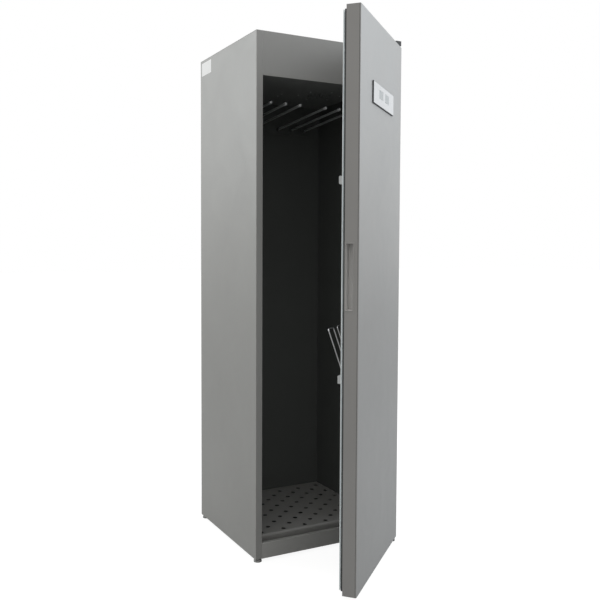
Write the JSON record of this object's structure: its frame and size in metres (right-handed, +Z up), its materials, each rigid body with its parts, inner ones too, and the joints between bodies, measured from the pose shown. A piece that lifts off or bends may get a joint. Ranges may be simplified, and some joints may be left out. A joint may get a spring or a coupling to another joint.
{
  "type": "drying cabinet",
  "caption": "Tall free-standing clothes drying cabinet with a hinged door, hanging rods, shoe tray and folding glove racks.",
  "frame": {"origin": "on the floor, under the middle of the whole object's box with the door at its rest angle of 41.5 degrees", "axes": "+X to the right seen from the front, +Y to the back, +Z up"},
  "size_m": [0.5576, 0.922, 1.862],
  "materials": {
    "side_paint": "satin",
    "frame_paint": "satin",
    "door_paint": "satin",
    "lining_paint": "matte",
    "tray_paint": "matte",
    "zinc_sheet": "satin",
    "bare_steel": "satin",
    "rod_steel": "satin",
    "insulation": "matte",
    "dark_plastic": "matte",
    "light_plastic": "satin",
    "grip_plastic": "matte",
    "panel_white": "gloss",
    "key_grey": "gloss",
    "circuit_board": "satin",
    "seal_rubber": "matte"
  },
  "bodies": {
    "cabinet": {"left_side_panel": "side_paint", "right_side_panel": "side_paint", "top_panel": "side_paint", "rear_panel": "zinc_sheet", "base_pan": "zinc_sheet", "header_panel": "frame_paint", "sill_panel": "frame_paint", "liner_left": "lining_paint", "liner_right": "lining_paint", "liner_back": "lining_paint", "ceiling_panel": "lining_paint", "inner_floor": "lining_paint", "insulation_left": "insulation", "insulation_right": "insulation", "insulation_back": "insulation", "rod_rail": "lining_paint", "hanging_rod_1": "rod_steel", "hanging_rod_2": "rod_steel", "hanging_rod_3": "rod_steel", "hanging_rod_4": "rod_steel", "hanging_rod_5": "rod_steel", "hanging_rod_6": "rod_steel", "rod_caps": "light_plastic", "fan_housing": "zinc_sheet", "fan_motor": "bare_steel", "heater_duct": "zinc_sheet", "heater_element": "bare_steel", "overheat_cutout": "dark_plastic", "power_board": "circuit_board", "door_switch": "dark_plastic", "exhaust_duct": "zinc_sheet", "mains_gland": "dark_plastic", "wall_bracket": "zinc_sheet", "foot_front_left": "dark_plastic", "foot_front_right": "dark_plastic", "foot_rear_left": "dark_plastic", "foot_rear_right": "dark_plastic", "top_hinge_plate": "bare_steel", "top_hinge_cover": "dark_plastic", "bottom_hinge_plate": "dark_plastic", "hinge_screws": "bare_steel", "panel_screws": "bare_steel"},
    "door": {"door_skin": "door_paint", "door_liner": "door_paint", "door_core": "insulation", "seal_carrier": "dark_plastic", "door_seal": "seal_rubber", "handle_cup": "grip_plastic", "hinge_bushes": "light_plastic", "panel_housing": "dark_plastic", "panel_face": "panel_white", "control_board": "circuit_board", "upper_rack_holder": "light_plastic", "lower_rack_holder": "light_plastic"},
    "upper_rack": {"upper_rack_wire": "bare_steel"},
    "lower_rack": {"lower_rack_wire": "bare_steel"},
    "programme_key": {"programme_key": "key_grey"},
    "start_key": {"start_key": "key_grey"},
    "shoe_tray": {"shoe_tray": "tray_paint"},
    "fan_wheel": {"fan_wheel": "dark_plastic"}
  },
  "joints": [
    {"name": "door_hinge", "type": "hinge", "parent": "cabinet", "child": "door", "pos_m": [0.25617, -0.09152, 0.9085], "axis": [0, 0, 1], "range_deg": [-41.5, 68.5]},
    {"name": "upper_rack_tilt", "type": "hinge", "parent": "door", "child": "upper_rack", "pos_m": [0.02657, -0.2259, 1.302], "axis": [-0.749, -0.6626, 0], "range_deg": [0, 45]},
    {"name": "lower_rack_tilt", "type": "hinge", "parent": "door", "child": "lower_rack", "pos_m": [0.02657, -0.2259, 0.673], "axis": [-0.749, -0.6626, 0], "range_deg": [-19.5, 25.5]},
    {"name": "programme_key_press", "type": "slide", "parent": "door", "child": "programme_key", "axis": [-0.6626, 0.749, 0], "range_m": [0, 0.0012], "stiffness_N_per_m": 1200},
    {"name": "start_key_press", "type": "slide", "parent": "door", "child": "start_key", "axis": [-0.6626, 0.749, 0], "range_m": [0, 0.0012], "stiffness_N_per_m": 1200},
    {"name": "tray_lift", "type": "slide", "parent": "cabinet", "child": "shoe_tray", "axis": [0, 0, 1], "range_m": [0, 0.12]},
    {"name": "fan_spin", "type": "hinge", "parent": "cabinet", "child": "fan_wheel", "pos_m": [0.10517, 0.19498, 1.6878], "axis": [0, 0, 1], "continuous": true}
  ]
}
